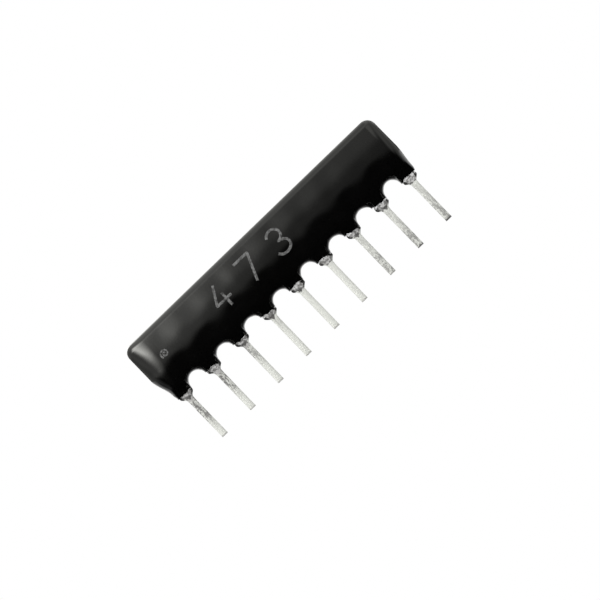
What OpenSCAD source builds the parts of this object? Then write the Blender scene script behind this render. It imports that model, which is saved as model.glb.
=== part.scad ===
// Single-in-line resistor network: a ceramic plate with printed resistors on one common bus,
// a clip lead soldered to each of its pads, and a black coat dipped over all but the pins.
// The row of pins runs along X with pin 1 at -X, and the marked face looks towards -Y.
// Z = 0 is the seating plane, at the foot of the shoulders, and X = 0 is the middle of the row.

/* [Pins] */
// Number of pins in the row
pin_count = 9; // [3:1:14]
// Distance between neighbouring pins
pitch = 2.54; // [2.4:0.01:2.8]
// Width of a pin along the row
pin_w = 0.5; // [0.4:0.01:0.6]
// Length of a pin below the seating plane
pin_len = 3.33; // [2.5:0.01:6]
// Thickness of the sheet that the leads are stamped from
sheet_t = 0.25; // [0.2:0.01:0.3]

/* [Shoulders and clips] */
// Width of a lead's shoulder
shoulder_w = 1.06; // [0.9:0.01:1.2]
// Angle of the shoulder's underside above the board
shoulder_angle = 45; // [30:1:60]
// Step from the shoulder's side to the clip's side
clip_step = 0.05; // [0:0.01:0.1]
// Width of the clip's front finger
finger_w = 0.4; // [0.3:0.01:0.5]
// Slot between the clip's fingers
finger_gap = 0.06; // [0.04:0.01:0.1]
// Inside radius of the clip's bends
bend_r = 0.17; // [0.1:0.01:0.25]
// Angle that the fingers are bent by at the clip's foot
bend_angle = 50; // [40:1:60]
// Straight length of the fingers along the plate
grip_len = 1.35; // [1:0.01:1.6]
// Angle that the finger tips are flared by
flare_angle = 20; // [10:1:30]
// Straight length of the flared tips
flare_len = 0.15; // [0.1:0.01:0.25]

/* [Ceramic plate] */
// Thickness of the plate
plate_t = 0.64; // [0.5:0.01:0.8]
// Height of the plate
plate_h = 3.49; // [3.2:0.01:6]
// Length of the plate past what it carries at its ends
plate_over = 0.03; // [0:0.01:0.1]

/* [Printed films] */
// Thickness of the silver conductor film
conductor_t = 0.02; // [0.01:0.005:0.03]
// Thickness of the resistor film
resistor_t = 0.035; // [0.03:0.005:0.06]
// Thickness of the glass over the resistor film
glaze_t = 0.02; // [0.01:0.005:0.04]
// Width of a pad
pad_w = 0.9; // [0.7:0.01:1.1]
// Height of a pad above the clip's tip
pad_free = 0.3; // [0.3:0.01:0.4]
// Width of the common bus
bus_w = 0.35; // [0.25:0.01:0.45]
// Distance from the plate's top edge to the bus
bus_inset = 0.2; // [0.1:0.01:0.3]
// Width of a resistor
resistor_w = 0.84; // [0.6:0.01:1.1]
// Lap of a resistor over the conductor at each end
film_lap = 0.2; // [0.1:0.01:0.2]
// Lap of the glass past the resistors
glaze_lap = 0.06; // [0.04:0.01:0.1]
// Width of the laser's trimming cut
trim_w = 0.05; // [0.03:0.01:0.08]
// Depth of the trimming cut into the resistor's side
trim_depth = 0.45; // [0.2:0.01:0.5]
// Length of the trimming cut along the resistor
trim_run = 0.25; // [0.1:0.01:0.3]

/* [Solder] */
// Thickness of the solder on a shoulder's faces
bead_face_t = 0.06; // [0.04:0.01:0.1]
// Thickness of the solder on a shoulder's sides
bead_side_t = 0.03; // [0.02:0.01:0.05]
// Thickness of the solder where it runs out on the pin
bead_end_t = 0.015; // [0.01:0.005:0.02]
// Reach of the solder along the pin, below the seating plane
bead_drop = 0.12; // [0.05:0.01:0.3]
// Reach of the solder up under the coat
bead_under = 0.1; // [0.05:0.01:0.1]
// Width of the fillet around a finger on its pad
fillet_w = 0.14; // [0.08:0.01:0.2]
// Height of that fillet over the pad
fillet_h = 0.17; // [0.1:0.01:0.2]
// Width of the fillet's upper edge
fillet_edge = 0.02; // [0.01:0.01:0.04]

/* [Coat] */
// Height of the coat's lower edge above the seating plane
coat_low = 0.55; // [0.45:0.01:0.8]
// Coat beside a shoulder
coat_side_t = 0.05; // [0.03:0.01:0.1]
// Height of an arch above the coat's lower edge
arch_h = 0.57; // [0.4:0.01:0.8]
// Coat between an arch and the plate's lower edge
coat_web_t = 0.3; // [0.2:0.01:0.4]
// Coat over the plate's top edge
coat_top_t = 0.3; // [0.2:0.01:0.5]
// Coat past the plate's end at the first pin
coat_first_t = 0.56; // [0.35:0.01:0.7]
// Coat past the plate's end at the last pin
coat_last_t = 0.35; // [0.35:0.01:0.7]
// Coat over the clips' fingers
coat_clip_t = 0.38; // [0.3:0.01:0.5]
// Coat over the films at the plate's top
coat_face_t = 0.24; // [0.2:0.01:0.4]
// Coat over a shoulder's face at the coat's lower edge
coat_lip_t = 0.2; // [0.15:0.01:0.35]
// How far the coat sinks between the clips
coat_sag = 0.02; // [0:0.01:0.12]
// Distance from the finger tips down to the crest of the coat's face
crest_drop = 0.45; // [0.2:0.01:0.8]
// Distance from the finger tips down to where the face starts to bow back
bow_drop = 0.9; // [0.5:0.01:1.2]
// Length over which the bow starts
bow_soft = 0.3; // [0.1:0.01:0.6]
// Lean of the coat's lower face from upright
lower_lean = 1.5; // [0:0.5:4]
// Height of the end lobes below their widening
end_waist = 0.35; // [0.1:0.01:0.6]
// Coat that the end lobes have beyond that of the others
end_foot_t = 0.04; // [0:0.01:0.1]
// Rounding of the coat's top edge
top_r = 0.45; // [0.3:0.01:0.5]
// Rounding of the coat's face towards the first end
first_r = 1.3; // [0.4:0.01:1.3]
// Rounding of the coat's face towards the last end
last_r = 0.7; // [0.4:0.01:1.3]
// Rounding of the coat's face towards the arches
arch_edge_r = 0.35; // [0.2:0.01:0.5]
// Lean of the lobes' lower faces, which taper down to the shoulders
lip_lean = 40; // [30:1:50]
// Softness of the bend above those faces
lip_soft = 0.15; // [0.05:0.01:0.3]
// Radius of the upper corner at the first end, seen from the front
first_corner_r = 0.65; // [0.3:0.01:0.9]
// Radius of the upper corner at the last end, seen from the front
last_corner_r = 0.65; // [0.3:0.01:0.9]
// Half width of the flat left between the front and back roundings
edge_half = 0.06; // [0.03:0.01:0.1]

/* [Smoothness] */
// Steps in each bend of a finger
bend_steps = 6; // [3:1:10]
// Steps across half a lobe of the coat
lobe_steps = 3; // [2:1:4]
// Steps around an arch of the coat
arch_steps = 8; // [6:2:12]
// Steps towards each end of the coat
end_steps = 7; // [5:1:10]
// Steps up the coat's lower part, to the crest
low_steps = 6; // [5:1:8]
// Steps up the coat's upper part, from the crest
high_steps = 7; // [5:1:9]

/* [Hidden] */
// Lead shoulder and clip, across the row
shoulder_half = shoulder_w / 2;
clip_half = shoulder_half - clip_step;
shoulder_h = (shoulder_w - pin_w) / 2 * tan(shoulder_angle);
bend_mid_r = bend_r + sheet_t / 2;

// Coat outline around the lobes and arches
lobe_half = shoulder_half + bead_side_t + coat_side_t;
arch_half = pitch / 2 - lobe_half;
foot_half = lobe_half + end_foot_t;

// Heights of the plate, the clip and the films
plate_low = coat_low + arch_h + coat_web_t;
plate_top = plate_low + plate_h;
plate_reach = max(clip_half, pad_w / 2, resistor_w / 2 + glaze_lap) + plate_over;
plate_half_l = (pin_count - 1) * pitch / 2 + plate_reach;
grip_top = plate_low + grip_len;
clip_top = grip_top + bend_mid_r * sin(flare_angle) + flare_len * cos(flare_angle);
pad_top = clip_top + pad_free;
bus_top = plate_top - bus_inset;
bus_low = bus_top - bus_w;
film_front = plate_t / 2;

// Offset of the fingers' mid-planes from the plate's mid-plane
front_offset = plate_t / 2 + conductor_t + sheet_t / 2;
back_offset = plate_t / 2 + sheet_t / 2;

// Coat heights and half thicknesses
coat_top = plate_top + coat_top_t;
crest_z = clip_top - crest_drop;
bow_z = clip_top - bow_drop;
waist_z = coat_low + end_waist;
clip_side = front_offset + sheet_t / 2 + coat_clip_t;
face_side = plate_t / 2 + resistor_t + glaze_t + coat_face_t;
lip_half = sheet_t / 2 + bead_face_t + coat_lip_t;
bow = (clip_side - face_side) / pow(plate_top - bow_z, 2);
first_reach = plate_reach + coat_first_t;
last_reach = plate_reach + coat_last_t;

// Overlap that keeps cuts and unions clean
eps = 0.01;

// Place of a pin along the row
function pin_x(k) = (k - (pin_count + 1) / 2) * pitch;

function clamp01(u) = max(0, min(1, u));

// S-shaped step from 0 to 1
function smooth(u) = let (v = clamp01(u)) v * v * (3 - 2 * v);

// Ramp that starts from 0 along a soft curve
function ramp(u, soft) = (u + sqrt(u * u + soft * soft)) / 2;

// Smaller of two values, with a soft change from one to the other
function soft_min(a, b, soft) = a - ramp(a - b, soft);

// Share of the full thickness at a distance d from a rounded edge
function round_off(d, r) = d >= r ? 1 : sqrt(max(0, 1 - pow(1 - max(0, d) / r, 2)));

// A finger's foot rises by this much while it moves sideways by its offset
function jog_straight(offset) = (offset - 2 * bend_mid_r * (1 - cos(bend_angle))) / sin(bend_angle);
function jog_rise(offset) = 2 * bend_mid_r * sin(bend_angle) + jog_straight(offset) * cos(bend_angle);
function foot_z(offset) = plate_low - jog_rise(offset);
fork_z = min(foot_z(front_offset), foot_z(back_offset));

// Stations of a finger's middle line, each [sideways, height, angle from upright]
function finger_line(offset) =
    let (
        r = bend_mid_r,
        z0 = foot_z(offset),
        s1 = r * (1 - cos(bend_angle)),
        h1 = r * sin(bend_angle),
        run = jog_straight(offset),
        s_flare = r * (1 - cos(flare_angle))
    )
    concat(
        [[0, fork_z - sheet_t, 0]],
        [for (i = [0:bend_steps]) let (a = bend_angle * i / bend_steps)
            [r * (1 - cos(a)), z0 + r * sin(a), a]],
        [for (i = [0:bend_steps]) let (a = bend_angle * (1 - i / bend_steps))
            [offset - r * (1 - cos(a)), plate_low - r * sin(a), a]],
        [for (i = [0:bend_steps]) let (a = flare_angle * i / bend_steps)
            [offset + r * (1 - cos(a)), grip_top + r * sin(a), a]],
        [[offset + s_flare + flare_len * sin(flare_angle), clip_top, flare_angle]]
    );

// Points on one side of the middle line, half a sheet away
function line_side(line, side) = [
    for (p = line) [p[0] + side * sheet_t / 2 * cos(p[2]), p[1] - side * sheet_t / 2 * sin(p[2])]
];

// One finger: its side profile, extruded over its width
module finger(offset, x0, x1, side) {
    line = finger_line(offset);
    outline = concat(line_side(line, 1), [for (i = [len(line) - 1:-1:0]) line_side(line, -1)[i]]);
    translate([x0, 0, 0])
        rotate([90, 0, 90])
            linear_extrude(x1 - x0)
                polygon([for (p = outline) [side * p[0], p[1]]]);
}

// Pin, shoulder and three-finger clip, stamped and bent from one sheet
module lead(k) {
    half = pin_w / 2;
    outline = [
        [-half, -pin_len], [half, -pin_len], [half, 0], [shoulder_half, shoulder_h],
        [shoulder_half, fork_z - clip_step], [clip_half, fork_z], [-clip_half, fork_z],
        [-shoulder_half, fork_z - clip_step], [-shoulder_half, shoulder_h], [-half, 0]
    ];
    color([0.78, 0.78, 0.77])
        translate([pin_x(k), 0, 0]) {
            translate([0, sheet_t / 2, 0])
                rotate([90, 0, 0])
                    linear_extrude(sheet_t)
                        polygon(outline);
            finger(front_offset, -finger_w / 2, finger_w / 2, -1);
            finger(back_offset, -clip_half, -finger_w / 2 - finger_gap, 1);
            finger(back_offset, finger_w / 2 + finger_gap, clip_half, 1);
        }
}

// Half width of a lead at a height
function lead_half(z) = z <= 0 ? pin_w / 2
    : z >= shoulder_h ? shoulder_half
    : pin_w / 2 + z / tan(shoulder_angle);

// Solder around the shoulder, lofted over rings that follow the lead's own outline
module shoulder_bead() {
    across = 4;
    heights = [-bead_drop, -bead_drop / 2, 0, shoulder_h / 2, shoulder_h, coat_low, coat_low + bead_under];
    grow = [for (z = heights) smooth((z + bead_drop) / (shoulder_h + bead_drop))];
    ring_n = 2 * (across + 1);
    rings = [for (i = [0:len(heights) - 1])
        let (
            half = lead_half(heights[i]) + bead_end_t + (bead_side_t - bead_end_t) * grow[i],
            flat = sheet_t / 2 + bead_end_t / 2,
            dome = bead_end_t / 2 + (bead_face_t - bead_end_t) * grow[i]
        )
        concat(
            [for (j = [0:across]) let (u = 2 * j / across - 1)
                [u * half, -flat - dome * (1 - u * u), heights[i]]],
            [for (j = [across:-1:0]) let (u = 2 * j / across - 1)
                [u * half, flat + dome * (1 - u * u), heights[i]]]
        )];
    points = [for (ring = rings) for (p = ring) p];
    last = len(points) - ring_n;
    walls = [for (i = [0:len(heights) - 2]) for (j = [0:ring_n - 1])
        let (a = i * ring_n + j, b = i * ring_n + (j + 1) % ring_n)
        each [[a, a + ring_n, b + ring_n], [a, b + ring_n, b]]];
    floor_face = [for (j = [0:ring_n - 1]) j];
    roof_face = [for (j = [ring_n - 1:-1:0]) last + j];
    polyhedron(points, concat(walls, [floor_face, roof_face]));
}

// Solder mound on the pad, around the front finger, before the finger is cut out of it
module pad_mound() {
    y0 = -film_front - conductor_t;
    low_x = finger_w / 2 + fillet_w;
    top_x = finger_w / 2 + fillet_edge;
    low_z = grip_top + fillet_w;
    top_z = grip_top + fillet_edge;
    y1 = y0 - fillet_h;
    points = [
        [-low_x, y0, plate_low], [low_x, y0, plate_low], [low_x, y0, low_z], [-low_x, y0, low_z],
        [-top_x, y1, plate_low], [top_x, y1, plate_low], [top_x, y1, top_z], [-top_x, y1, top_z]
    ];
    faces = [
        [0, 1, 2, 3], [7, 6, 5, 4], [4, 5, 1, 0], [5, 6, 2, 1], [6, 7, 3, 2], [7, 4, 0, 3]
    ];
    polyhedron(points, faces);
}

// Solder of one lead: the bead on its shoulder and the fillet on its pad
module solder(k) {
    color([0.7, 0.7, 0.69])
        difference() {
            translate([pin_x(k), 0, 0]) {
                shoulder_bead();
                pad_mound();
            }
            lead(k);
        }
}

module ceramic_plate() {
    color([0.93, 0.92, 0.88])
        translate([-plate_half_l, -plate_t / 2, plate_low])
            cube([2 * plate_half_l, plate_t, plate_h]);
}

// Flat patch of film on the plate's front, up to a thickness t
module film(x0, x1, z0, z1, t) {
    translate([x0, -film_front - t, z0])
        cube([x1 - x0, t, z1 - z0]);
}

module pad(k) {
    color([0.82, 0.81, 0.78])
        film(pin_x(k) - pad_w / 2, pin_x(k) + pad_w / 2, plate_low, pad_top, conductor_t);
}

// Conductor from the first pin, up the plate and along its top
module common_bus() {
    left = pin_x(1) - pad_w / 2;
    color([0.82, 0.81, 0.78]) {
        film(left, pin_x(1) + pad_w / 2, plate_low, bus_top, conductor_t);
        film(left, pin_x(pin_count) + pad_w / 2, bus_low, bus_top, conductor_t);
    }
}

// The L-shaped cut that sets a resistor's value, through the glass and the film
module trim_cut(k) {
    left = pin_x(k) - resistor_w / 2;
    inner = left + trim_depth;
    z = (pad_top + bus_low) / 2;
    depth = resistor_t + glaze_t + eps;
    film(left - glaze_lap - eps, inner, z - trim_w, z, depth);
    film(inner - trim_w, inner, z - trim_w, z + trim_run, depth);
}

// Resistor film before trimming, from a pad to the bus
module resistor_patch(k) {
    film(pin_x(k) - resistor_w / 2, pin_x(k) + resistor_w / 2, pad_top - film_lap, bus_low + film_lap,
        resistor_t);
}

// Resistor of one pin, printed over the ends of its conductors
module resistor(k) {
    color([0.2, 0.2, 0.22])
        difference() {
            resistor_patch(k);
            pad(k);
            common_bus();
            trim_cut(k);
        }
}

// Glass band with the trimming cuts, before the films under it are cut out
module glaze_band() {
    reach = resistor_w / 2 + glaze_lap;
    difference() {
        film(pin_x(2) - reach, pin_x(pin_count) + reach, pad_top - film_lap - glaze_lap,
            bus_low + film_lap + glaze_lap, resistor_t + glaze_t);
        for (k = [2:pin_count])
            trim_cut(k);
    }
}

module overglaze() {
    color([0.16, 0.36, 0.3])
        difference() {
            glaze_band();
            common_bus();
            for (k = [2:pin_count]) {
                pad(k);
                resistor_patch(k);
            }
        }
}

// Reach of the coat past an end pin, from the lobe's own half width to the full reach
function end_reach(full, z) = foot_half + (full - foot_half) * smooth((z - waist_z) / (crest_z - waist_z));
function first_x(z) = pin_x(1) - end_reach(first_reach, z);
function last_x(z) = pin_x(pin_count) + end_reach(last_reach, z);

// Drop of the coat's top edge inside a rounded upper corner
function corner_drop(reach, full, r) = r - sqrt(r * r - pow(max(0, reach - full + r), 2));

// Half thickness of the coat before its edges are rounded
function coat_face(x, z) =
    let (
        between = (1 - cos(360 * (x - pin_x(1)) / pitch)) / 2,
        inside = x > pin_x(1) && x < pin_x(pin_count) ? 1 : 0,
        fade = 1 - smooth((z - crest_z + crest_drop) / (2 * crest_drop))
    )
    clip_side - bow * pow(ramp(z - bow_z, bow_soft), 2) - tan(lower_lean) * (z - coat_low)
    - coat_sag * between * inside * fade;

// Half thickness of a lobe that tapers down to its shoulder
function lobe_face(z) = lip_half + tan(lip_lean) * (z - coat_low);

// Rounding towards the arch on the right of a pin
function arch_share(k, x, z) =
    let (rise = (z - coat_low) * arch_half / arch_h)
    k < 1 || k >= pin_count ? 1
    : round_off(norm([x - pin_x(k) - pitch / 2, rise]) - arch_half, arch_edge_r);

// Rounding of the coat's face towards an end, as tight as an arch's down at the lobes
function end_r(full, z) = arch_edge_r + (full - arch_edge_r) * smooth((z - coat_low) / (clip_top - coat_low));

// Half thickness of the coat at a point of its outline's inside
function coat_half(x, z, top) =
    let (k = round((x - pin_x(1)) / pitch) + 1)
    max(edge_half, soft_min(coat_face(x, z), lobe_face(z), lip_soft) * round_off(top - z, top_r)
        * round_off(x - first_x(z), end_r(first_r, z)) * round_off(last_x(z) - x, end_r(last_r, z))
        * arch_share(k - 1, x, z) * arch_share(k, x, z));

// Columns of the coat, each [share of the first end's reach, place, share of the last end's, low, top]
function end_column(share, side) =
    let (
        full = side < 0 ? first_reach : last_reach,
        r = side < 0 ? first_corner_r : last_corner_r,
        top = coat_top - corner_drop(share * full, full, r)
    )
    side < 0 ? [share, 0, 0, coat_low, top] : [0, 0, share, coat_low, top];
coat_columns = concat(
    [for (i = [end_steps:-1:1]) end_column(sin(90 * i / end_steps), -1)],
    [for (k = [1:pin_count]) each concat(
        [for (i = [k == 1 ? 0 : -lobe_steps:k == pin_count ? 0 : lobe_steps])
            [0, pin_x(k) + lobe_half * sin(90 * i / lobe_steps), 0, coat_low, coat_top]],
        [for (i = [1:arch_steps - 1]) let (a = 180 * i / arch_steps) if (k < pin_count)
            [0, pin_x(k) + pitch / 2 - arch_half * cos(a), 0, coat_low + arch_h * sin(a), coat_top]]
    )],
    [for (i = [1:end_steps]) end_column(sin(90 * i / end_steps), 1)]
);
function column_x(c, z) = c[0] > 0 ? pin_x(1) - c[0] * end_reach(first_reach, z)
    : c[2] > 0 ? pin_x(pin_count) + c[2] * end_reach(last_reach, z)
    : c[1];

// Heights of a column's points, closest at its lower and upper ends
function column_heights(low, top) = concat(
    [for (j = [0:low_steps]) low + (crest_z - low) * (1 - cos(90 * j / low_steps))],
    [for (j = [high_steps - 1:-1:0]) top - (top - crest_z) * (1 - cos(90 * j / high_steps))]
);

// Points of one face of the coat, column by column
function coat_points(side) = [
    for (c = coat_columns) for (z = column_heights(c[3], c[4]))
        let (x = column_x(c, z))
        [x, side * coat_half(x, z, c[4]), z]
];

// Outer shape of the coat: a front and a back face over one grid, joined around their edge
module coat_skin() {
    columns = len(coat_columns);
    rows = low_steps + high_steps + 1;
    back = columns * rows;
    right = columns - 1;
    top = rows - 1;
    front_faces = [for (i = [0:right - 1]) for (j = [0:top - 1])
        let (a = i * rows + j, b = a + rows)
        each [[a, a + 1, b + 1], [a, b + 1, b]]];
    back_faces = [for (f = front_faces) [f[2] + back, f[1] + back, f[0] + back]];
    low_edge = [for (i = [0:right]) i * rows];
    right_edge = [for (j = [1:top]) right * rows + j];
    top_edge = [for (i = [right - 1:-1:0]) i * rows + top];
    left_edge = [for (j = [top - 1:-1:1]) j];
    rim = concat(low_edge, right_edge, top_edge, left_edge);
    rim_faces = [for (i = [0:len(rim) - 1])
        let (a = rim[i], b = rim[(i + 1) % len(rim)])
        each [[a, b, b + back], [a, b + back, a + back]]];
    polyhedron(concat(coat_points(-1), coat_points(1)), concat(front_faces, back_faces, rim_faces));
}

// Coat around everything but the pins and the lower part of the shoulders
module epoxy_coat() {
    color([0.09, 0.09, 0.1])
        difference() {
            coat_skin();
            ceramic_plate();
            common_bus();
            glaze_band();
            for (k = [2:pin_count])
                pad(k);
            for (k = [1:pin_count]) {
                lead(k);
                translate([pin_x(k), 0, 0]) {
                    shoulder_bead();
                    pad_mound();
                }
            }
        }
}

epoxy_coat();
ceramic_plate();
common_bus();
overglaze();
for (k = [2:pin_count])
    pad(k);
for (k = [1:pin_count - 1])
    resistor(k + 1);
for (k = [1:pin_count])
    lead(k);
for (k = [1:pin_count])
    solder(k);
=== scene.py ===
# %% [markdown]
# A single-in-line resistor network is a small ceramic plate with printed resistors and a row of clip leads,
# dipped in black epoxy so that only the pins and the soldered shoulders show.
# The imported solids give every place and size. They are loaded first and never moved. What the eye sees is
# built around them: the coat, the leads, the solder and the mark on the front.

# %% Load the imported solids
import math

import bmesh
import bpy
from mathutils import Matrix, Vector


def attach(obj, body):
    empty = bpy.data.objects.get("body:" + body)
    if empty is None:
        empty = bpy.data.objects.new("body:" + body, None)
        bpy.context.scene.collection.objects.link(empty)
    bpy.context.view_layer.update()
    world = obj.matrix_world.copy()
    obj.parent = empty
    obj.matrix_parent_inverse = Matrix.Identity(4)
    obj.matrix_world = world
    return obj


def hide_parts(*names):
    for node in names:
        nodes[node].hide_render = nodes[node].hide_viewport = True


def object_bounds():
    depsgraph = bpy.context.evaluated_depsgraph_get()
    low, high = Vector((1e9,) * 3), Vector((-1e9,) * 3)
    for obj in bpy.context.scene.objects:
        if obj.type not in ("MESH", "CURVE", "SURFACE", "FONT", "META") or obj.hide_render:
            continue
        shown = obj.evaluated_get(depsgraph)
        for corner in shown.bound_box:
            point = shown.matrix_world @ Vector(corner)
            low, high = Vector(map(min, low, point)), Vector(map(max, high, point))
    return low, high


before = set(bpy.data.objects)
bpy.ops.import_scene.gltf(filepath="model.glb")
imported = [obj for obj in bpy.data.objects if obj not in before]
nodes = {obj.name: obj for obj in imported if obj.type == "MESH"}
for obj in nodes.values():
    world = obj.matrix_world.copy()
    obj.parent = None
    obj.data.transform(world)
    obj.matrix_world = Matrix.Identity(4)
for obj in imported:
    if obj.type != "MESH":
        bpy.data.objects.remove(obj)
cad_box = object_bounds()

scene = bpy.context.scene
mm = 0.001
print("solids:", len(nodes), "box in mm:", [round(side / mm, 2) for side in cad_box[1] - cad_box[0]])

# %% [markdown]
# Shapes and finishes are both made by node trees, and long chains of nodes are hard to read as code.
# So one small class wraps a socket: adding or multiplying two of them adds a Math node to the tree.
# A second class stands for the tree. Its method `add` makes any node, and the others are common uses of it.

# %% Sums that turn into nodes
class Wire:
    """An output socket that can be used in Python sums."""

    def __init__(self, tree, socket):
        self.tree = tree
        self.socket = socket

    def op(self, operation, *values):
        return self.tree.add("ShaderNodeMath", {"operation": operation}, dict(enumerate(values)))

    def __add__(self, other):
        return self.op("ADD", self, other)

    def __radd__(self, other):
        return self.op("ADD", other, self)

    def __sub__(self, other):
        return self.op("SUBTRACT", self, other)

    def __rsub__(self, other):
        return self.op("SUBTRACT", other, self)

    def __mul__(self, other):
        return self.op("MULTIPLY", self, other)

    def __rmul__(self, other):
        return self.op("MULTIPLY", other, self)

    def __truediv__(self, other):
        return self.op("DIVIDE", self, other)

    def __rtruediv__(self, other):
        return self.op("DIVIDE", other, self)

    def __pow__(self, other):
        return self.op("POWER", self, other)

    def __abs__(self):
        return self.op("ABSOLUTE", self)

    def sin(self):
        return self.op("SINE", self)

    def cos(self):
        return self.op("COSINE", self)

    def root(self):
        return self.op("SQRT", self)

    def angle(self, other):
        return self.op("ARCTAN2", self, other)

    def floor(self):
        return self.op("FLOOR", self)

    def sign(self):
        return self.op("SIGN", self)

    def least(self, other):
        return self.op("MINIMUM", self, other)

    def most(self, other):
        return self.op("MAXIMUM", self, other)

    def between(self, low, high):
        return self.most(low).least(high)


class Tree:
    """A node tree whose nodes are added one by one."""

    def __init__(self, tree):
        self.tree = tree

    def add(self, kind, settings=None, inputs=None, output=0):
        node = self.tree.nodes.new(kind)
        for name, value in (settings or {}).items():
            setattr(node, name, value)
        for key, value in (inputs or {}).items():
            for one in value if isinstance(value, list) else [value]:
                if isinstance(one, Wire):
                    self.tree.links.new(one.socket, node.inputs[key])
                else:
                    node.inputs[key].default_value = one
        return Wire(self, node.outputs[output])

    def parts(self, vector):
        split = self.add("ShaderNodeSeparateXYZ", None, {0: vector})
        outputs = split.socket.node.outputs
        return [Wire(self, outputs[axis]) for axis in range(3)]

    def vector(self, x, y, z):
        return self.add("ShaderNodeCombineXYZ", None, {0: x, 1: y, 2: z})

    def in_mm(self, vector):
        return self.add("ShaderNodeVectorMath", {"operation": "SCALE"}, {0: vector, "Scale": 1 / mm})

    def noise(self, place, scale, detail=2.0):
        return self.add("ShaderNodeTexNoise", None, {"Vector": place, "Scale": scale, "Detail": detail})

    def chance(self, number):
        return self.add("ShaderNodeTexWhiteNoise", {"noise_dimensions": "1D"}, {"W": number})


print("ready for sums:", Wire.__name__, Tree.__name__)

# %% Curves that shapes and finishes share
def smooth(u):
    """0 below 0 and 1 above 1, with a smooth step between them."""
    v = u.between(0, 1)
    return v * v * (3 - 2 * v)


def ease(u, start, end):
    """A smooth step from 0 at the start to 1 at the end, which may also be the lower of the two."""
    return smooth((u - start) / (end - start))


def soft_ramp(u, soft):
    """0 far below 0 and u far above it, with a soft bend between them."""
    return (u + (u * u + soft * soft).root()) / 2


def soft_least(a, b, soft):
    """The lower of two values, with a soft bend where they cross."""
    return a - soft_ramp(a - b, soft)


def round_off(distance, radius):
    """A quarter circle: 0 at an edge, and 1 from one radius inwards."""
    lack = 1 - (distance / radius).between(0, 1)
    return (1 - lack * lack).most(0).root()


print("curves ready:", [curve.__name__ for curve in (smooth, ease, soft_ramp, soft_least, round_off)])

# %% [markdown]
# A Geometry Nodes tree gets named inputs for its sizes, so that it can be tried out by hand in Blender too.
# The modifier's inputs are set by their identifiers before the object is first evaluated, and the result
# is then kept as a plain mesh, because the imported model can't hold a modifier.

# %% From a node tree to a plain mesh
SOCKETS = {float: "NodeSocketFloat", int: "NodeSocketInt", bpy.types.Object: "NodeSocketObject",
           bpy.types.Material: "NodeSocketMaterial"}


class Shape(Tree):
    """A Geometry Nodes tree with one named input for each of its sizes."""

    def __init__(self, name, sizes):
        super().__init__(bpy.data.node_groups.new(name, "GeometryNodeTree"))
        self.sizes = sizes
        self.tree.interface.new_socket("Geometry", in_out="OUTPUT", socket_type="NodeSocketGeometry")
        for label, value in sizes.items():
            self.tree.interface.new_socket(label, in_out="INPUT", socket_type=SOCKETS[type(value)])
        self.source = self.tree.nodes.new("NodeGroupInput")

    def __getitem__(self, label):
        return Wire(self, self.source.outputs[label])

    def taken(self, label):
        """The shape of the object that an input names."""
        return self.add("GeometryNodeObjectInfo", {"transform_space": "ORIGINAL"}, {"Object": self[label]},
                        "Geometry")

    def piece(self, name, geometry):
        """Ends the tree, evaluates it and returns a plain mesh object."""
        smoothed = self.add("GeometryNodeSetShadeSmooth", None, {"Geometry": geometry})
        real = self.add("GeometryNodeRealizeInstances", None, {"Geometry": smoothed})
        painted = self.add("GeometryNodeSetMaterial", None, {"Geometry": real, "Material": self["Finish"]})
        end = self.tree.nodes.new("NodeGroupOutput")
        self.tree.links.new(painted.socket, end.inputs[0])
        grown = bpy.data.objects.new(name + "_grown", bpy.data.meshes.new(name + "_grown"))
        scene.collection.objects.link(grown)
        modifier = grown.modifiers.new(name, "NODES")
        modifier.node_group = self.tree
        for item in self.tree.interface.items_tree:
            if item.in_out == "INPUT":
                modifier[item.identifier] = self.sizes[item.name]
        seen = bpy.context.evaluated_depsgraph_get()
        mesh = bpy.data.meshes.new_from_object(grown.evaluated_get(seen), preserve_all_data_layers=True,
                                               depsgraph=seen)
        mesh.name = name
        bpy.data.objects.remove(grown)
        made = bpy.data.objects.new(name, mesh)
        scene.collection.objects.link(made)
        print(name, "triangles:", sum(len(p.vertices) - 2 for p in mesh.polygons))
        return made


print("kinds of named inputs:", len(SOCKETS))

# %% [markdown]
# A finish is a Principled shader whose colour, roughness and bump come from noise in Object coordinates.
# The coordinates are scaled to millimetres, so that a noise scale of 5 means five grains to a millimetre.
# A number that is the same all over is set on the shader's own socket.

# %% The start of every finish
class Finish(Tree):
    """A material with a Principled shader and Object coordinates in millimetres."""

    def __init__(self, name, **fixed):
        self.material = bpy.data.materials.new(name)
        self.material.use_nodes = True
        super().__init__(self.material.node_tree)
        self.shader = self.tree.nodes["Principled BSDF"]
        for label, value in fixed.items():
            self.shader.inputs[label.replace("_", " ")].default_value = value
        self.place = self.in_mm(self.add("ShaderNodeTexCoord", None, None, "Object"))

    def grain(self, scale, detail=2.0, stretch=None):
        place = self.place
        if stretch:
            place = self.add("ShaderNodeVectorMath", {"operation": "MULTIPLY"}, {0: place, 1: stretch})
        return self.noise(place, scale, detail)

    def blend(self, share, first, second):
        return self.add("ShaderNodeMix", {"data_type": "RGBA"}, {0: share, 6: first, 7: second}, 2)

    def feed(self, label, value):
        self.tree.links.new(value.socket, self.shader.inputs[label])

    def bump(self, height, distance, strength=1.0):
        self.feed("Normal", self.add("ShaderNodeBump", None,
                                     {"Height": height, "Distance": distance, "Strength": strength}))


def grey(level, warm=0.0):
    """A grey of a level from 0 to 1, warmer or cooler by a share."""
    return (level * (1 + warm), level, level * (1 - warm), 1.0)


print("finish helpers ready")

# %% [markdown]
# The photograph looks straight at the marked face, with the row of pins rising to the right at 44 degrees.
# Such a view is a camera that looks along +Y and is rolled about its own axis. A long lens from 20 cm keeps
# the pins parallel. The camera stands at the height of the floor, so that the floor is seen edge-on and the
# background stays white down to the pin tips.

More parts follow.
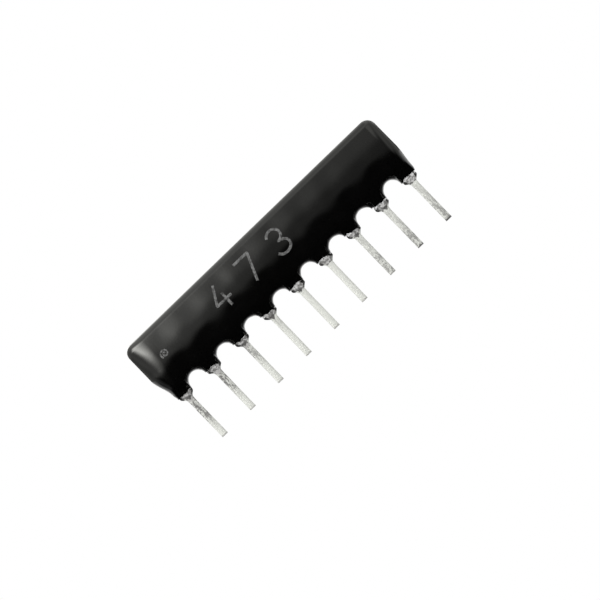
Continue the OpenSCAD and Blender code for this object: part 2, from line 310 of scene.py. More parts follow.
# %% Camera
scene.view_settings.view_transform = "Standard"
floor_z = cad_box[0].z
roll = math.radians(43.98)
aim = Vector((-0.529 * mm, 0, -0.376 * mm))
view_width = 39.2 * mm
camera_gap = 0.2
sensor = 36.0

lens = bpy.data.cameras.new("camera")
lens.sensor_width = sensor
lens.lens = sensor * camera_gap / view_width
lens.clip_start = 0.01
lens.clip_end = 5.0
camera = bpy.data.objects.new("camera", lens)
scene.collection.objects.link(camera)
camera.location = Vector((aim.x, -camera_gap, floor_z))
forward = (aim - camera.location).normalized()
level_right = Vector((1, 0, 0))
level_up = level_right.cross(forward)
right = math.cos(roll) * level_right - math.sin(roll) * level_up
up = math.sin(roll) * level_right + math.cos(roll) * level_up
turned = Matrix((right, up, -forward)).transposed().to_4x4()
camera.matrix_world = Matrix.Translation(camera.location) @ turned
scene.camera = camera
print("lens in mm:", round(lens.lens, 1))

# %% [markdown]
# The light is a white tent: a world of strength 1 all round, under which a colour renders as it is written,
# and a pale floor at the pin tips. Glossy black shows nothing but reflections, so reflections get a tent of
# their own: a dome that only they see, black near the horizon, brighter above and to the left, with one
# slanting lamp for the streak near pin 1. A mat on the floor, black in front of the part and grey beside it,
# keeps the lobes dark from below.

# %% World and floor
world = bpy.data.worlds.new("white tent")
world.use_nodes = True
scene.world = world
sky = world.node_tree.nodes["Background"]
sky.inputs["Color"].default_value = grey(1.0)
sky.inputs["Strength"].default_value = 1.0


def card(name, spots, faces, finish, reflected_only=False):
    """A card of the studio, which isn't part of the object."""
    mesh = bpy.data.meshes.new(name)
    mesh.from_pydata(spots, [], faces)
    mesh.materials.append(finish.material)
    made = bpy.data.objects.new(name, mesh)
    scene.collection.objects.link(made)
    if reflected_only:
        made.visible_camera = False
        made.visible_diffuse = False
        made.visible_shadow = False
        made.visible_transmission = False


floor_finish = Finish("pale floor", Roughness=0.6, IOR=1.3)
floor_finish.feed("Base Color", floor_finish.blend(floor_finish.grain(0.05, 3), grey(0.93), grey(0.96)))
floor_reach = 0.6
floor_sides = 64
ring = [2 * math.pi * side / floor_sides for side in range(floor_sides)]
card("floor", [(floor_reach * math.cos(a), floor_reach * math.sin(a), floor_z) for a in ring],
     [range(floor_sides)], floor_finish)
print("floor at mm:", round(floor_z / mm, 2))

# %% Dome that reflections see
def dome_finish(name, strength):
    """Light by azimuth and elevation in degrees: bright at the sides, patterned in front and behind."""
    finish = Finish(name, Base_Color=grey(0.0), Specular_IOR_Level=0.0, Emission_Strength=strength)
    x, y, z = finish.parts(finish.place)
    away = (x * x + y * y).root()
    azimuth = x.angle(abs(y)) * math.degrees(1)
    elevation = z.angle(away) * math.degrees(1)
    behind = ease(y / away, -0.1, 0.1)
    # In front, three layers of light, one above the other, that grow towards the lamp.
    layers = 0.3 * ease(elevation, 6.5, 13.5) + 0.44 * ease(elevation, 18, 25) \
        + 0.61 * ease(elevation, 32, 52)
    near_lamp = ease(azimuth, -1.5, -8.5) * ease(azimuth, -38, -26) * ease(elevation, 11, 16)
    lean = (1.55 * ease(azimuth, 3.5, -6.5) + 1.2 * near_lamp - 0.28) * ease(elevation, 60, 35)
    front = layers * (1 + lean)
    # The slanting lamp at the left, and a weak one at the right.
    lamp_start, lamp_fade = 2, 24
    lamp_middle = 22.5 + 11.5 * ease(elevation, 20, 29)
    lamp = 8.6 * ease(elevation, 11, 28) * ease(elevation, 70, 45) \
        * smooth((-lamp_start - azimuth) / (lamp_middle - lamp_start)) \
        * smooth(1 + (azimuth + lamp_middle) / lamp_fade)
    right_lamp = 0.7 * ease(elevation, 19, 25) * ease(azimuth, 6, 15) * ease(elevation, 45, 35)
    # What the rounded ends see: a low glow half aside, and a plain field at the sides.
    low_sides = (0.29 + 0.11 * azimuth.sign()) * ease(abs(azimuth), 22, 47) * ease(abs(azimuth), 75, 55) \
        * ease(elevation, 4, 8) * ease(elevation, 16, 10)
    lifted = ease(elevation, 6, 14)
    aside = ease(abs(azimuth) + 15 * lifted + 25 * behind, 50, 85)
    sides = 0.5 + 0.35 * lifted + 0.5 * ease(elevation, 35, 55)
    # Overhead it is brighter at the left than at the right.
    overhead = 1 - (x * 0.007).between(-0.3, 0.3) * ease(elevation, 60, 75)
    light = ((front + lamp + right_lamp) * (1 - aside) + sides * aside + low_sides) * overhead / strength
    finish.feed("Emission Color", finish.add("ShaderNodeMix", {"data_type": "RGBA", "blend_type": "MULTIPLY"},
                                             {0: 1.0, 6: light, 7: (1.0, 1.0, 0.95, 1.0)}, 2))
    return finish


def dome(name, reach, azimuths, elevations, finish):
    """A patch of a dome around the part, between two azimuths and two elevations in degrees."""
    columns, rows = 48, 16
    spots = []
    for row in range(rows + 1):
        e = math.radians(elevations[0] + (elevations[1] - elevations[0]) * row / rows)
        for column in range(columns + 1):
            a = math.radians(azimuths[0] + (azimuths[1] - azimuths[0]) * column / columns)
            spots.append((reach * math.sin(a) * math.cos(e), -reach * math.cos(a) * math.cos(e),
                          reach * math.sin(e)))
    faces = [(k, k + 1, k + columns + 2, k + columns + 1)
             for k in range(rows * (columns + 1)) if k % (columns + 1) < columns]
    card(name, spots, faces, finish, True)


dome("dome", reach=0.58, azimuths=(-180, 180), elevations=(-1, 90),
     finish=dome_finish("dome light", strength=1.0))
dome("lamp", reach=0.56, azimuths=(-48, -2), elevations=(10, 70),
     finish=dome_finish("lamp light", strength=6.0))

# %% Mat that reflections see
mat_finish = Finish("black mat", Roughness=0.9, Specular_IOR_Level=0.0)
mat_x, mat_y, _ = mat_finish.parts(mat_finish.place)
mat_turn = abs(mat_x.angle(0 - mat_y)) * math.degrees(1)
mat_reach = (mat_x * mat_x + mat_y * mat_y).root()
mat_side = ease(mat_turn, 55, 90) * ease(mat_reach, 20, 80)
mat_edge = ease(mat_y, 1, 9).most(mat_side)
mat_finish.feed("Base Color", mat_finish.blend(mat_edge, grey(0.0005), grey(0.4)))
mat_z = floor_z + 0.05 * mm
mat_back = 9 * mm
card("mat", [(-floor_reach, -floor_reach, mat_z), (floor_reach, -floor_reach, mat_z),
             (floor_reach, mat_back, mat_z), (-floor_reach, mat_back, mat_z)], [range(4)], mat_finish, True)
print("mat at mm:", round(mat_z / mm, 2))

# %% [markdown]
# The coat is epoxy that was dipped and cured: it hangs in a lobe over each clip, arches between the lobes,
# bulges over the clips and thins towards the top. Sculpting would give one such coat; here the same rule as
# in the solid is written in Geometry Nodes. A flat grid is wrapped like a sleeve, front up and back down,
# and each point takes its place from its column and row. Front and back share the height of every row, so the
# sleeve closes where they meet. Slow noise makes it uneven, as poured epoxy is.

# %% Sizes of the coat
pin_count = 9
pitch = 2.54 * mm
pitch_mm = pitch / mm
first_pin = -(pin_count - 1) / 2 * pitch
coat_sizes = {
    "Pins": pin_count, "Pitch": pitch, "First Pin": first_pin, "Columns": 40, "Rows": 80,
    "Lobe Half": 0.61 * mm, "Arch Half": 0.66 * mm, "Arch Rise": 0.55 * mm, "Low": 0.55 * mm,
    "Top": 5.21 * mm, "First Foot": 0.68 * mm, "First Reach": 1.07 * mm, "First Corner": 0.65 * mm,
    "Last Foot": 0.7 * mm, "Last Reach": 0.86 * mm, "Last Corner": 0.65 * mm, "Last Lean": 0.01,
    "Clip Side": 0.97 * mm, "Crest": 2.562 * mm, "Crest Drop": 0.45 * mm,
    "Bow Start": 2.112 * mm, "Bow": 0.0453 / mm, "Bow Soft": 0.3 * mm,
    "Lower Lean": math.tan(math.radians(1.5)), "Sag": 0.02 * mm, "Waist": 0.8 * mm,
    "Lip Half": 0.385 * mm, "Lip Lean": math.tan(math.radians(40)), "Lip Soft": 0.15 * mm,
    "Top Round": 0.45 * mm, "First Round": 1.5 * mm, "Last Round": 0.7 * mm, "Arch Round": 0.35 * mm,
    "Round From": 2.7 * mm, "Round Soft": 0.2, "Least Gap": 0.0008 * mm,
    "Foot Round": 0.06 * mm, "Foot Rise": 0.3 * mm, "Ripple": 0.007 * mm, "Ripple Shift": 0.235 * mm,
    "Ripple From": 3.0 * mm, "Ripple Fade": 1.0 * mm, "Last Ripple": 0.25,
    "Lip First": -0.09 * mm, "Lip Last": -0.04 * mm, "Lip Wander": 0.28 * mm, "Lip Tilt": 0.055 * mm,
    "Last Arches": 0.16, "Arch Wander": 0.1, "Arch Seed": 8534, "Row Shift": -0.03 * mm, "Unevenness": 0.02,
}
print("coat sizes:", len(coat_sizes))

# %% Black epoxy
def black_epoxy():
    finish = Finish("black epoxy", IOR=1.5)
    cloud = finish.grain(0.45, 3)
    peel = finish.grain(7.0, 2)
    finish.feed("Base Color", finish.blend(cloud, grey(0.0008), grey(0.0018, 0.04)))
    finish.feed("Roughness", 0.07 + 0.06 * cloud + 0.02 * peel)
    finish.bump(peel * 0.4 + cloud, 0.004 * mm, 0.5)
    return finish.material


coat_sizes["Finish"] = black_epoxy()
print("finish:", coat_sizes["Finish"].name)

# %% Coat tree: columns and rows
coat = Shape("dipped coat", coat_sizes)
grid = coat.add("GeometryNodeMeshGrid", None, {
    "Size X": coat["Pins"] + 1, "Size Y": 2.0,
    "Vertices X": coat["Columns"] * (coat["Pins"] + 1) + 1, "Vertices Y": 2 * coat["Rows"] + 1})
across, around = coat.parts(coat.add("GeometryNodeInputPosition"))[:2]
lobe_part = 0.25      # of the columns from one pin to the next, on each lobe
wall_part = 0.94      # of the rows from the top, before the coat turns in under the lip
noise_gap = 4.0       # front and back take their noise this far to each side of the middle

column = across + (coat["Pins"] - 1) / 2
cell = column.floor().between(0, coat["Pins"] - 2)
step = (column - cell).between(0, 1)
rise = (step / lobe_part).least(1) * (math.pi / 2)
fall = ((1 - step) / lobe_part).least(1) * (math.pi / 2)
turn = ((step - lobe_part) / (1 - 2 * lobe_part)).between(0, 1) * math.pi
row_x = cell * coat["Pitch"] + coat["Lobe Half"] * (1 + rise.sin() - fall.sin()) \
    + coat["Arch Half"] * (1 - turn.cos())
first_share = ((0 - column).between(0, 1) * (math.pi / 2)).sin()
last_share = ((column - coat["Pins"] + 1).between(0, 1) * (math.pi / 2)).sin()

arch_rise = coat["Arch Rise"] * (1 + coat["Last Arches"] * ease(cell, 5, 7)
                                 + coat["Arch Wander"] * (2 * coat.chance(cell + coat["Arch Seed"]) - 1))
row_length = (coat["Pins"] - 1) * coat["Pitch"]
lip_noise = coat.noise(coat.vector(row_x / mm, -noise_gap, 0.0), scale=1.9, detail=3.0)
around_pin = row_x * (2 * math.pi) / coat["Pitch"]
lip_shift = coat["Lip First"] + (coat["Lip Last"] - coat["Lip First"]) * row_x / row_length \
    + coat["Lip Wander"] * (2 * lip_noise - 1) - coat["Lip Tilt"] * around_pin.sin()
lip_low = coat["Low"] + lip_shift * (1 - turn.sin())
low = lip_low + arch_rise * turn.sin()


def corner_drop(share, reach, radius):
    """How far the top edge drops at a share of the way past the last pin."""
    inside = (share * reach - reach + radius).most(0)
    return radius - (radius * radius - inside * inside).root()


top = coat["Top"] - corner_drop(first_share, coat["First Reach"], coat["First Corner"]) \
    - corner_drop(last_share, coat["Last Reach"], coat["Last Corner"])
ring_part = abs(around)
climb = (1 - ring_part / wall_part).most(0)
under = ((1 - ring_part) / (1 - wall_part)).least(1)
z = low + (top - low) * (1 - (climb * math.pi).cos()) / 2
print("nodes for columns and rows:", len(coat.tree.nodes))

# %% Coat tree: thickness
widen = ease(z, coat["Waist"], coat["Crest"])
tuck = coat["Foot Round"] * smooth((coat["Waist"] - z) / coat["Foot Rise"])
first_reach = coat["First Foot"] + (coat["First Reach"] - coat["First Foot"]) * widen - tuck
last_reach = coat["Last Foot"] + (coat["Last Reach"] - coat["Last Foot"]) * widen \
    - coat["Last Lean"] * (z - coat["Crest"]).most(0) - tuck
shift = coat["Row Shift"] * (1 - first_share) * (1 - last_share)
x = row_x + shift - first_share * first_reach + last_share * last_reach

swing = (x.between(0, row_length) * (2 * math.pi) / coat["Pitch"]).cos()
fade = 1 - smooth((z - coat["Crest"] + coat["Crest Drop"]) / (2 * coat["Crest Drop"]))
bow = soft_ramp(z - coat["Bow Start"], coat["Bow Soft"])
weaker = 1 - (1 - coat["Last Ripple"]) * (x / row_length).between(0, 1)
patch = smooth((z - coat["Ripple From"]) / coat["Ripple Fade"]) \
    * smooth((coat["Top"] - z) / coat["Ripple Fade"])
swell = 1 - ((x - coat["Ripple Shift"]) * (2 * math.pi) / coat["Pitch"]).cos()
ripple = coat["Ripple"] * weaker * patch * swell
face = coat["Clip Side"] - coat["Bow"] * bow * bow - coat["Lower Lean"] * (z - coat["Low"]) \
    - coat["Sag"] * (1 - swing) / 2 * fade - ripple

arch_dx = x - shift - (cell + 0.5) * coat["Pitch"]
arch_dz = (z - lip_low) * coat["Arch Half"] / arch_rise
arch_gap = ((arch_dx * arch_dx + arch_dz * arch_dz).root() - coat["Arch Half"]).most(coat["Least Gap"])
first_gap = x + first_reach
last_gap = row_length + last_reach - x
open_up = soft_least((z - coat["Low"]) / (coat["Round From"] - coat["Low"]), 1, coat["Round Soft"]).most(0)
first_round = coat["Arch Round"] + (coat["First Round"] - coat["Arch Round"]) * open_up
last_round = coat["Arch Round"] + (coat["Last Round"] - coat["Arch Round"]) * open_up
edges = round_off(top - z, coat["Top Round"]) * round_off(first_gap, first_round) \
    * round_off(last_gap, last_round) * round_off(arch_gap, coat["Arch Round"])
taper = coat["Lip Half"] + coat["Lip Lean"] * (z - lip_low)

side = around.sign()
wave = coat.noise(coat.vector(x / mm, side * noise_gap, z / mm), scale=0.55, detail=1.0)
half = soft_least(face, taper, coat["Lip Soft"]) * edges * (1 - coat["Unevenness"] * wave) * under
print("nodes with the thickness:", len(coat.tree.nodes))

# %% Coat piece
laid = coat.add("GeometryNodeSetPosition", None, {
    "Geometry": grid, "Position": coat.vector(x + coat["First Pin"], side * half, z)})
closed = coat.add("GeometryNodeMergeByDistance", None, {"Geometry": laid, "Distance": 0.00001 * mm})
coat_piece = coat.piece("dipped_coat", closed)
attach(coat_piece, "root")
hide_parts("epoxy_coat")

# %% [markdown]
# Each lead is stamped from thin sheet and tinned. The three-finger clip inside the coat is a copy of the
# solid. The stem that shows, pin and shoulder, is lofted instead: a rounded rectangle is swept along it,
# because molten tin rounds every edge and leaves the face uneven. One lead is built and set nine times.

# %% Clip and fillet copied from the middle lead
def copied(name, node, keep_above):
    """A closed copy of a solid's part above a height."""
    work = bmesh.new()
    work.from_mesh(nodes[node].data)
    bmesh.ops.remove_doubles(work, verts=work.verts, dist=0.0001 * mm)
    cut = bmesh.ops.bisect_plane(work, geom=work.verts[:] + work.edges[:] + work.faces[:], dist=0.0001 * mm,
                                 plane_co=(0, 0, keep_above), plane_no=(0, 0, 1), clear_inner=True)
    rim = [edge for edge in cut["geom_cut"] if isinstance(edge, bmesh.types.BMEdge)]
    bmesh.ops.holes_fill(work, edges=rim)
    bmesh.ops.dissolve_limit(work, angle_limit=math.radians(1), verts=work.verts, edges=work.edges)
    bmesh.ops.triangulate(work, faces=work.faces)
    mesh = bpy.data.meshes.new(name)
    work.to_mesh(mesh)
    work.free()
    made = bpy.data.objects.new(name, mesh)
    scene.collection.objects.link(made)
    print(name, "faces:", len(mesh.polygons))
    return made


clip_copy = copied("clip_copy", "lead_5", 0.66 * mm)
fillet_copy = copied("fillet_copy", "solder_5", 1.0 * mm)

# %% Tinned sheet
# Two tones of one tin as painted light: the lighter at the left edge of every pin, the darker as painted
# shade at the right. The lighter one is also the plain tin under the solder.
tin_bright, tin_shaded = (0.8, 0.81, 0.765, 1.0), (0.68, 0.69, 0.65, 1.0)


def tinned_sheet():
    """Pale tin, worn grey at the tops of the first pins and towards the tips of the last, with painted shade
    at the right side of every pin and at the cut tips.
    """
    finish = Finish("tinned sheet", Metallic=0.1)
    x_mm, _, z_mm = finish.parts(finish.place)
    middle_pin = (pin_count + 1) / 2
    pin = (x_mm / pitch_mm + middle_pin + 0.5).floor()
    dx = x_mm - (pin - middle_pin) * pitch_mm
    streak = finish.grain(2.2, 2, (3.2, 1.0, 0.8))
    speck = finish.grain(8.0, 2, (1.3, 1.0, 0.8))
    first_tops = ease(pin, 5.2, 1.8) * ease(z_mm - 0.3 * pin, -3.2, -1.4)
    last_feet = ease(pin, 6.2, 6.8) * (0.28 + 0.42 * ease(z_mm, -0.6, -2.6))
    worn = (0.08 + first_tops + last_feet).least(1)
    mottle = (0.2 + 0.8 * ease(streak * 0.5 + speck * 0.5, 0.44, 0.56)) * worn
    above_tip = z_mm - floor_z / mm
    # Painted shade at the cut ends: a thin dark line at every tip, and a wider dark band on the last two
    # pins.
    tip_shade_reach = 0.1 + 0.12 * speck - above_tip + 0.25 * (pin - pin_count) * abs(dx)
    painted_tip_shade = ease(pin, 7.5, 7.9) * ease(tip_shade_reach, 0, 0.08)
    tip = 1 - ease(above_tip - 0.1 * speck, 0.02, 0.07)
    # Painted shade: each pin goes from the lighter tone at its left edge to the darker one at its right.
    side_shaded_tin = finish.blend(ease(dx, -0.25, 0.25), tin_bright, tin_shaded)
    tone = finish.blend(mottle, side_shaded_tin, grey(0.19, 0.02))
    tone = finish.blend(tip * 0.6, tone, grey(0.3, 0.03))
    finish.feed("Base Color", finish.blend(painted_tip_shade, tone, grey(0.09, 0.03)))
    finish.feed("Roughness", 0.55 + 0.1 * speck + 0.1 * mottle)
    finish.bump(speck * 0.3 + streak, 0.004 * mm, 0.3)
    return finish.material


tin = tinned_sheet()
print("finish:", tin.name)

# %% Stem of a lead and the row of nine
lead_sizes = {
    "Pins": pin_count, "Pitch": pitch, "First Pin": first_pin, "Around": 48, "Rows": 104,
    "Pin Half": 0.232 * mm, "Half Sheet": 0.125 * mm, "Pin Length": 3.329 * mm, "Shoulder Rise": 0.28 * mm,
    "Stem Top": 0.7 * mm, "Bend Soft": 0.05 * mm, "Squareness": 4.2, "Tin Wave": 0.006 * mm,
    "Lean": math.radians(0.15), "Clip": clip_copy, "Finish": tin,
}


def swept_ring(angle, squareness):
    """A rounded rectangle of half sides 1, as x and y over the angle."""
    power = 2 / squareness
    c, s = angle.cos(), angle.sin()
    return c.sign() * abs(c) ** power, s.sign() * abs(s) ** power


def ring_grid(shape):
    """A grid with its angle, its row number and the share that closes both ends."""
    made = shape.add("GeometryNodeMeshGrid", None, {
        "Size X": 1.0, "Size Y": 1.0, "Vertices X": shape["Around"] + 1, "Vertices Y": shape["Rows"] + 1})
    gx, gy = shape.parts(shape.add("GeometryNodeInputPosition"))[:2]
    row = (gy + 0.5) * shape["Rows"]
    ends = (row / 2).least(1) * ((shape["Rows"] - row) / 2).least(1)
    climbed = ((row - 2) / (shape["Rows"] - 4)).between(0, 1)
    return made, (gx + 0.5) * (2 * math.pi), ends, climbed


def row_of_nine(shape, one):
    """The piece at every pin, each with a slight lean of its own."""
    line = shape.add("GeometryNodeMeshLine", {"mode": "OFFSET"}, {
        "Count": shape["Pins"], "Start Location": shape.vector(shape["First Pin"], 0.0, 0.0),
        "Offset": shape.vector(shape["Pitch"], 0.0, 0.0)})
    number = shape.add("GeometryNodeInputIndex")
    lean = [shape["Lean"] * (2 * shape.chance(number + seed) - 1) for seed in (10, 20)]
    row = shape.add("GeometryNodeInstanceOnPoints", None, {
        "Points": line, "Instance": one, "Rotation": shape.vector(lean[0], lean[1], 0.0)})
    return shape.add("GeometryNodeRealizeInstances", None, {"Geometry": row})


def wavy(shape, geometry, scale, height, keep):
    """Moves a piece's points along their normals by noise, of which each level keeps a share."""
    place = shape.add("GeometryNodeInputPosition")
    noise = shape.noise(shape.in_mm(place), scale)
    normal = shape.add("GeometryNodeInputNormal")
    offset = shape.add("ShaderNodeVectorMath", {"operation": "SCALE"},
                       {0: normal, "Scale": height * (2 * noise - 1) * keep(shape.parts(place)[2])})
    return shape.add("GeometryNodeSetPosition", None, {"Geometry": geometry, "Offset": offset})


leads = Shape("row of leads", lead_sizes)
sleeve, angle, ends, climbed = ring_grid(leads)
stem_z = climbed * (leads["Stem Top"] + leads["Pin Length"]) - leads["Pin Length"]
stem_half = leads["Pin Half"] + soft_ramp(stem_z, leads["Bend Soft"]) \
    - soft_ramp(stem_z - leads["Shoulder Rise"], leads["Bend Soft"])
ring_x, ring_y = swept_ring(angle, leads["Squareness"])
stem = leads.add("GeometryNodeSetPosition", None, {"Geometry": sleeve, "Position": leads.vector(
    ring_x * stem_half * ends, ring_y * leads["Half Sheet"] * ends, stem_z)})
stem = leads.add("GeometryNodeMergeByDistance", None, {"Geometry": stem, "Distance": 0.0002 * mm})
whole = leads.add("GeometryNodeJoinGeometry", None, {"Geometry": [stem, leads.taken("Clip")]})
tinned = wavy(leads, row_of_nine(leads, whole), scale=2.6, height=leads["Tin Wave"],
              keep=lambda level: ease(level, 0.6 * mm, 0.5 * mm) * ease(level, floor_z, floor_z + 0.1 * mm))
lead_piece = leads.piece("leads", tinned)
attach(lead_piece, "root")
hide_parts(*[f"lead_{k + 1}" for k in range(pin_count)])

# %% [markdown]
# The solder on a shoulder ran up from the pin before the coat was dipped. It is a lumpy lens, with a hollow
# at each side above the sloping edge. The lens is lofted around the shoulder, hollowed by a rule and
# roughened by noise that differs from pin to pin. The finish has a painted highlight where it meets the coat
# and painted shade in the same hollows, and gives some pins a dark pointed tail and others a painted notch
# shadow.

# %% Solder finish
solder_seeds = (20, 40, 627, 957)


def solder_finish():
    """Grey solder, with a painted highlight under the coat, painted shade on the slopes, and on some pins a
    dark tail and a painted notch shadow.
    """
    finish = Finish("solder", Metallic=0.1)
    x_mm, _, z_mm = finish.parts(finish.place)
    from_middle = (x_mm / pitch_mm + 0.5).floor()
    dx = x_mm - from_middle * pitch_mm
    size_chance, place_chance, dark_tail_chance, notch_chance = [finish.chance(from_middle + seed)
                                                           for seed in solder_seeds]
    lump = finish.grain(5.0, 2)
    speck = finish.grain(13.0, 2)
    ragged = 0.4 * (lump - 0.5) + 0.15 * (speck - 0.5)
    # Painted shade on the lower slopes at both sides of the shoulder, where they face down.
    to_edge = 0.28 + z_mm.between(0, 0.28) - abs(dx)
    painted_slope_shade = ease(to_edge - ragged, 0.22, 0.14) * ease(z_mm, 0.02, 0.08)
    plain = smooth((0.02 + 0.08 * size_chance - z_mm + 0.4 * ragged) / 0.05)
    # A dark pointed tail down the middle of some pins, in the colour only, with no shape of its own.
    reach = 0.1 + 0.14 * size_chance
    dark_tail_half = 0.2 * ((z_mm + reach) / (reach + 0.1)).between(0, 1)
    dark_tail_x = dx - 0.16 * (place_chance - 0.5)
    dark_tail = ease(dark_tail_half - abs(dark_tail_x) + 0.15 * ragged, 0, 0.05) * ease(dark_tail_chance, 0.5, 0.6) \
        * (1 - ease(z_mm, 0.15, 0.25))
    # Painted shadow of a dark notch under the coat, at the right of some shoulders.
    notch_x, notch_z = dx - 0.37, z_mm - 0.43
    from_notch = (notch_x * notch_x + notch_z * notch_z).root()
    notch_shadow = ease(from_notch - 0.3 * ragged, 0.11, 0.06) * ease(notch_chance, 0.5, 0.6)
    # Painted highlight in a band under the coat, lighter on the pins to the right, with painted glints from
    # the speck noise.
    painted_top_light = ease(z_mm + 1.2 * ragged, 0.42, 0.48) * (0.55 + 0.45 * ease(speck, 0.4, 0.55))
    tone = finish.blend(ease(lump, 0.42, 0.56), grey(0.2, 0.02), grey(0.6, 0.01))
    tone = finish.blend(painted_slope_shade, tone, grey(0.03, 0.04))
    tone = finish.blend(plain, tone, finish.blend(ease(from_middle, -1.5, -2), tin_bright, grey(0.5, 0.02)))
    tone = finish.blend(dark_tail * 0.9, tone, grey(0.08, 0.03))
    tone = finish.blend(painted_top_light, tone, finish.blend(ease(from_middle, -4, 2), grey(0.65, 0.01), grey(1.0)))
    finish.feed("Base Color", finish.blend(notch_shadow, tone, grey(0.012)))
    finish.feed("Roughness", 0.34 + 0.15 * speck)
    finish.bump(lump + 0.3 * speck, 0.02 * mm, 0.5)
    return finish.material


solder_grey = solder_finish()
print("finish:", solder_grey.name)

# %% Solder tree
solder_sizes = {
    "Pins": pin_count, "Pitch": pitch, "First Pin": first_pin, "Around": 64, "Rows": 36,
    "Pin Half": 0.237 * mm, "Half Sheet": 0.125 * mm, "Shoulder Rise": 0.28 * mm, "Side": 0.042 * mm,
    "Spread From": 0.08 * mm, "Face": 0.065 * mm, "Run Out": 0.006 * mm, "Low": -0.2 * mm, "High": 0.75 * mm,
    "Bend Soft": 0.04 * mm, "Squareness": 2.8, "Lump": 0.03 * mm, "Hollow Depth": 0.05 * mm,
    "Tuck": 0.06 * mm, "Lean": math.radians(0.15), "Fillet": fillet_copy, "Finish": solder_grey,
}
solder = Shape("row of solder", solder_sizes)
sleeve, angle, ends, climbed = ring_grid(solder)
bead_z = solder["Low"] + climbed * (solder["High"] - solder["Low"])
grow = ease(bead_z, solder["Low"], solder["Shoulder Rise"])
spread = ease(bead_z, solder["Spread From"], solder["Shoulder Rise"])
bead_half = solder["Pin Half"] + soft_ramp(bead_z, solder["Bend Soft"]) \
    - soft_ramp(bead_z - solder["Shoulder Rise"], solder["Bend Soft"]) \
    + solder["Run Out"] + (solder["Side"] - solder["Run Out"]) * spread \
    - solder["Tuck"] * ease(bead_z, 0.5 * mm, 0.65 * mm)
bead_depth = solder["Half Sheet"] + solder["Run Out"] + (solder["Face"] - solder["Run Out"]) * grow
ring_x, ring_y = swept_ring(angle, solder["Squareness"])
bead_x = ring_x * bead_half * ends
from_side = bead_half - abs(bead_x)
hollow = (1 - ease(from_side, 0.04 * mm, 0.3 * mm)) * ease(bead_z, 0.02 * mm, 0.12 * mm) \
    * (1 - ease(bead_z, 0.32 * mm, 0.46 * mm))
bead_y = ring_y * (bead_depth - solder["Hollow Depth"] * hollow) * ends
bead = solder.add("GeometryNodeSetPosition", None, {
    "Geometry": sleeve, "Position": solder.vector(bead_x, bead_y, bead_z)})
bead = solder.add("GeometryNodeMergeByDistance", None, {"Geometry": bead, "Distance": 0.0002 * mm})
whole = solder.add("GeometryNodeJoinGeometry", None, {"Geometry": [bead, solder.taken("Fillet")]})
lumpy = wavy(solder, row_of_nine(solder, whole), scale=3.2, height=solder["Lump"],
             keep=lambda level: ease(level, -0.15 * mm, 0.05 * mm) * ease(level, 0.8 * mm, 0.6 * mm))
solder_piece = solder.piece("solder_beads", lumpy)
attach(solder_piece, "root")
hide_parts(*[f"solder_{k + 1}" for k in range(pin_count)])

# %% [markdown]
# The front carries a thin stamped mark: a dot at the first pin and a plain three-digit number. The strokes
# are drawn as flat curves in front of the face. Geometry Nodes sweep a round stroke along them and then
# drop every point onto the coat with a ray, which flattens the stroke to a film that follows the bulge.

# %% Strokes of the mark
def arc(centre_x, centre_z, radius_x, radius_z, start, end, steps=14):
    sweep = [math.radians(start + (end - start) * step / steps) for step in range(steps + 1)]
    return [(centre_x + radius_x * math.cos(a), centre_z + radius_z * math.sin(a)) for a in sweep]


def spiral(centre_x, centre_z, inner, outer, turns, steps=60):
    sweep = [(inner + (outer - inner) * s / steps, 2 * math.pi * turns * s / steps) for s in range(steps + 1)]
    return [(centre_x + radius * math.cos(a), centre_z + radius * math.sin(a)) for radius, a in sweep]


digit_low, digit_high, digit_wide = 2.45, 4.25, 1.25
digit_tall = digit_high - digit_low


def four(x):
    foot = digit_low + 0.32 * digit_tall
    return [[(x + 0.1, digit_high), (x - digit_wide / 2, foot), (x + digit_wide / 2, foot)],
            [(x + 0.2, digit_low + 0.6 * digit_tall), (x + 0.2, digit_low)]]


def seven(x):
    return [[(x - digit_wide / 2, digit_high), (x + digit_wide / 2, digit_high), (x - 0.12, digit_low)]]


def three(x):
    radius = digit_tall / 4
    return [arc(x, digit_high - radius, 0.5, radius, 160, -90)
            + arc(x, digit_low + radius, 0.58, radius, 90, -160)[1:]]


strokes = four(-4.08) + seven(-1.5) + three(1.1) + [spiral(-9.28, 3.23, 0.05, 0.3, 1.6)]
thick, thin = 1.0, 0.62
stroke_plane = -3 * mm
stroke_data = bpy.data.curves.new("mark_strokes", "CURVE")
stroke_data.dimensions = "3D"
for stroke in strokes:
    spline = stroke_data.splines.new("POLY")
    spline.points.add(len(stroke) - 1)
    for point, (px, pz) in zip(spline.points, stroke):
        point.co = (px * mm, stroke_plane, pz * mm, 1)
        point.radius = thin if stroke is strokes[-1] else thick
stroke_curves = bpy.data.objects.new("mark_strokes", stroke_data)
scene.collection.objects.link(stroke_curves)
print("strokes:", len(strokes))

# %% Grey ink and the mark
def grey_ink():
    finish = Finish("grey ink", IOR=1.4)
    blot = finish.grain(4.0, 3)
    speck = finish.grain(9.0, 3)
    worn = ease(blot * 0.4 + speck * 0.6, 0.4, 0.6)
    finish.feed("Base Color", finish.blend(worn, grey(0.025), grey(0.17)))
    finish.feed("Roughness", 0.6 + 0.2 * speck)
    finish.bump(speck, 0.004 * mm, 0.5)
    return finish.material


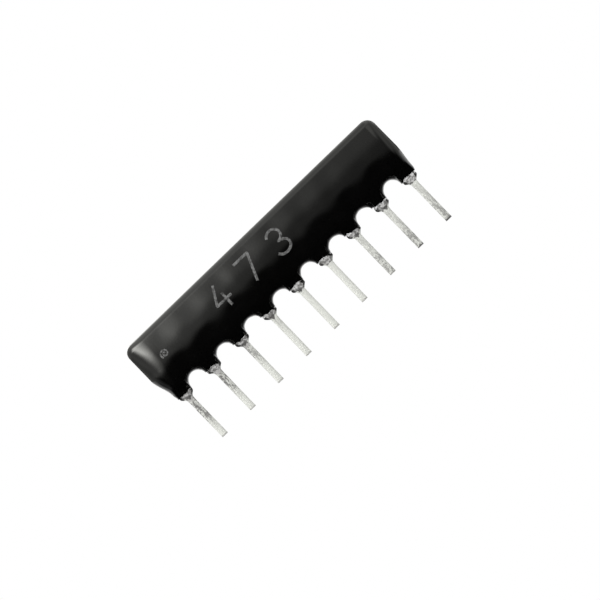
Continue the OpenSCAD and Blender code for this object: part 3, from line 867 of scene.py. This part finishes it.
mark_sizes = {"Strokes": stroke_curves, "Coat": coat_piece, "Stroke Width": 0.19 * mm, "Film": 0.012 * mm,
              "Step": 0.04 * mm, "Wobble": 0.02 * mm, "Sides": 10, "Ray": 5 * mm, "Finish": grey_ink()}
mark = Shape("stamped mark", mark_sizes)
lines = mark.add("GeometryNodeResampleCurve", {"mode": "LENGTH"},
                 {"Curve": mark.taken("Strokes"), "Length": mark["Step"]})
profile = mark.add("GeometryNodeCurvePrimitiveCircle", {"mode": "RADIUS"},
                   {"Resolution": mark["Sides"], "Radius": mark["Stroke Width"] / 2})
tube = mark.add("GeometryNodeCurveToMesh", None, {"Curve": lines, "Profile Curve": profile, "Fill Caps": True,
                                                  "Scale": mark.add("GeometryNodeInputRadius")})
place = mark.add("GeometryNodeInputPosition")
px, py, pz = mark.parts(place)
shake = mark.noise(place, scale=9 / mm, detail=1.0) * 2 - 1
shaken_x = px + mark["Wobble"] * shake
shaken_z = pz + mark["Wobble"] * shake
hit = mark.add("GeometryNodeRaycast", None, {
    "Target Geometry": mark.taken("Coat"), "Source Position": mark.vector(shaken_x, stroke_plane, shaken_z),
    "Ray Direction": (0, 1, 0), "Ray Length": mark["Ray"]}, "Hit Position")
hit_y = mark.parts(hit)[1]
proud = (py - stroke_plane) * mark["Film"] / mark["Stroke Width"] * 2
film = mark.add("GeometryNodeSetPosition", None, {
    "Geometry": tube, "Position": mark.vector(shaken_x, hit_y + proud, shaken_z)})
mark_piece = mark.piece("stamped_mark", film)
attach(mark_piece, "root")
for spare in (clip_copy, fillet_copy, stroke_curves):
    bpy.data.objects.remove(spare)

# %% [markdown]
# Inside the coat lie the plate, its silver conductors, the dark resistors and the glass over them. Nothing
# of them shows, but the model can be taken apart, so each of these solids gets the finish of the real one.

# %% Finishes of the hidden pieces
def fired_ceramic():
    finish = Finish("white alumina", IOR=1.6)
    cloud = finish.grain(1.5, 3)
    pore = ease(finish.grain(14.0, 2), 0.62, 0.7)
    clean = finish.blend(cloud, grey(0.82, 0.02), grey(0.88, 0.03))
    finish.feed("Base Color", finish.blend(pore * 0.5, clean, grey(0.6, 0.05)))
    finish.feed("Roughness", 0.6 + 0.2 * cloud)
    finish.bump(finish.grain(9.0, 4), 0.004 * mm)
    return finish.material


def fired_film(name, dark, light, rough, metallic, weave):
    """A printed and fired film, with the print screen's weave left in its surface."""
    finish = Finish(name, Metallic=metallic)
    x_mm, _, z_mm = finish.parts(finish.place)
    screen_weave = (x_mm * weave).sin() * (z_mm * weave).sin() * 0.5 + 0.5
    cloud = finish.grain(3.0, 4)
    finish.feed("Base Color", finish.blend(cloud * 0.8 + screen_weave * 0.2, dark, light))
    finish.feed("Roughness", rough + 0.15 * cloud)
    finish.bump(cloud + 0.5 * screen_weave, 0.003 * mm)
    return finish.material


alumina = fired_ceramic()
silver = fired_film("fired silver", grey(0.52, 0.02), grey(0.76, 0.03),
                    rough=0.4, metallic=0.8, weave=60.0)
resistor_film = fired_film("fired resistor film", grey(0.03), grey(0.07, 0.02),
                           rough=0.55, metallic=0.0, weave=60.0)
glass = fired_film("green glass", (0.03, 0.14, 0.09, 1), (0.06, 0.25, 0.17, 1),
                   rough=0.15, metallic=0.0, weave=25.0)
hidden = {"ceramic_plate": alumina, "common_bus": silver, "overglaze": glass}
hidden.update({f"pad_{k}": silver for k in range(2, pin_count + 1)})
hidden.update({f"resistor_{k}": resistor_film for k in range(1, pin_count)})
replaced = {"epoxy_coat": coat_sizes["Finish"]}
replaced.update({f"lead_{k + 1}": lead_sizes["Finish"] for k in range(pin_count)})
replaced.update({f"solder_{k + 1}": solder_sizes["Finish"] for k in range(pin_count)})
for name, material in {**hidden, **replaced}.items():
    nodes[name].data.materials.clear()
    nodes[name].data.materials.append(material)
print("finishes inside:", len(hidden), "of solids that a piece stands for:", len(replaced))
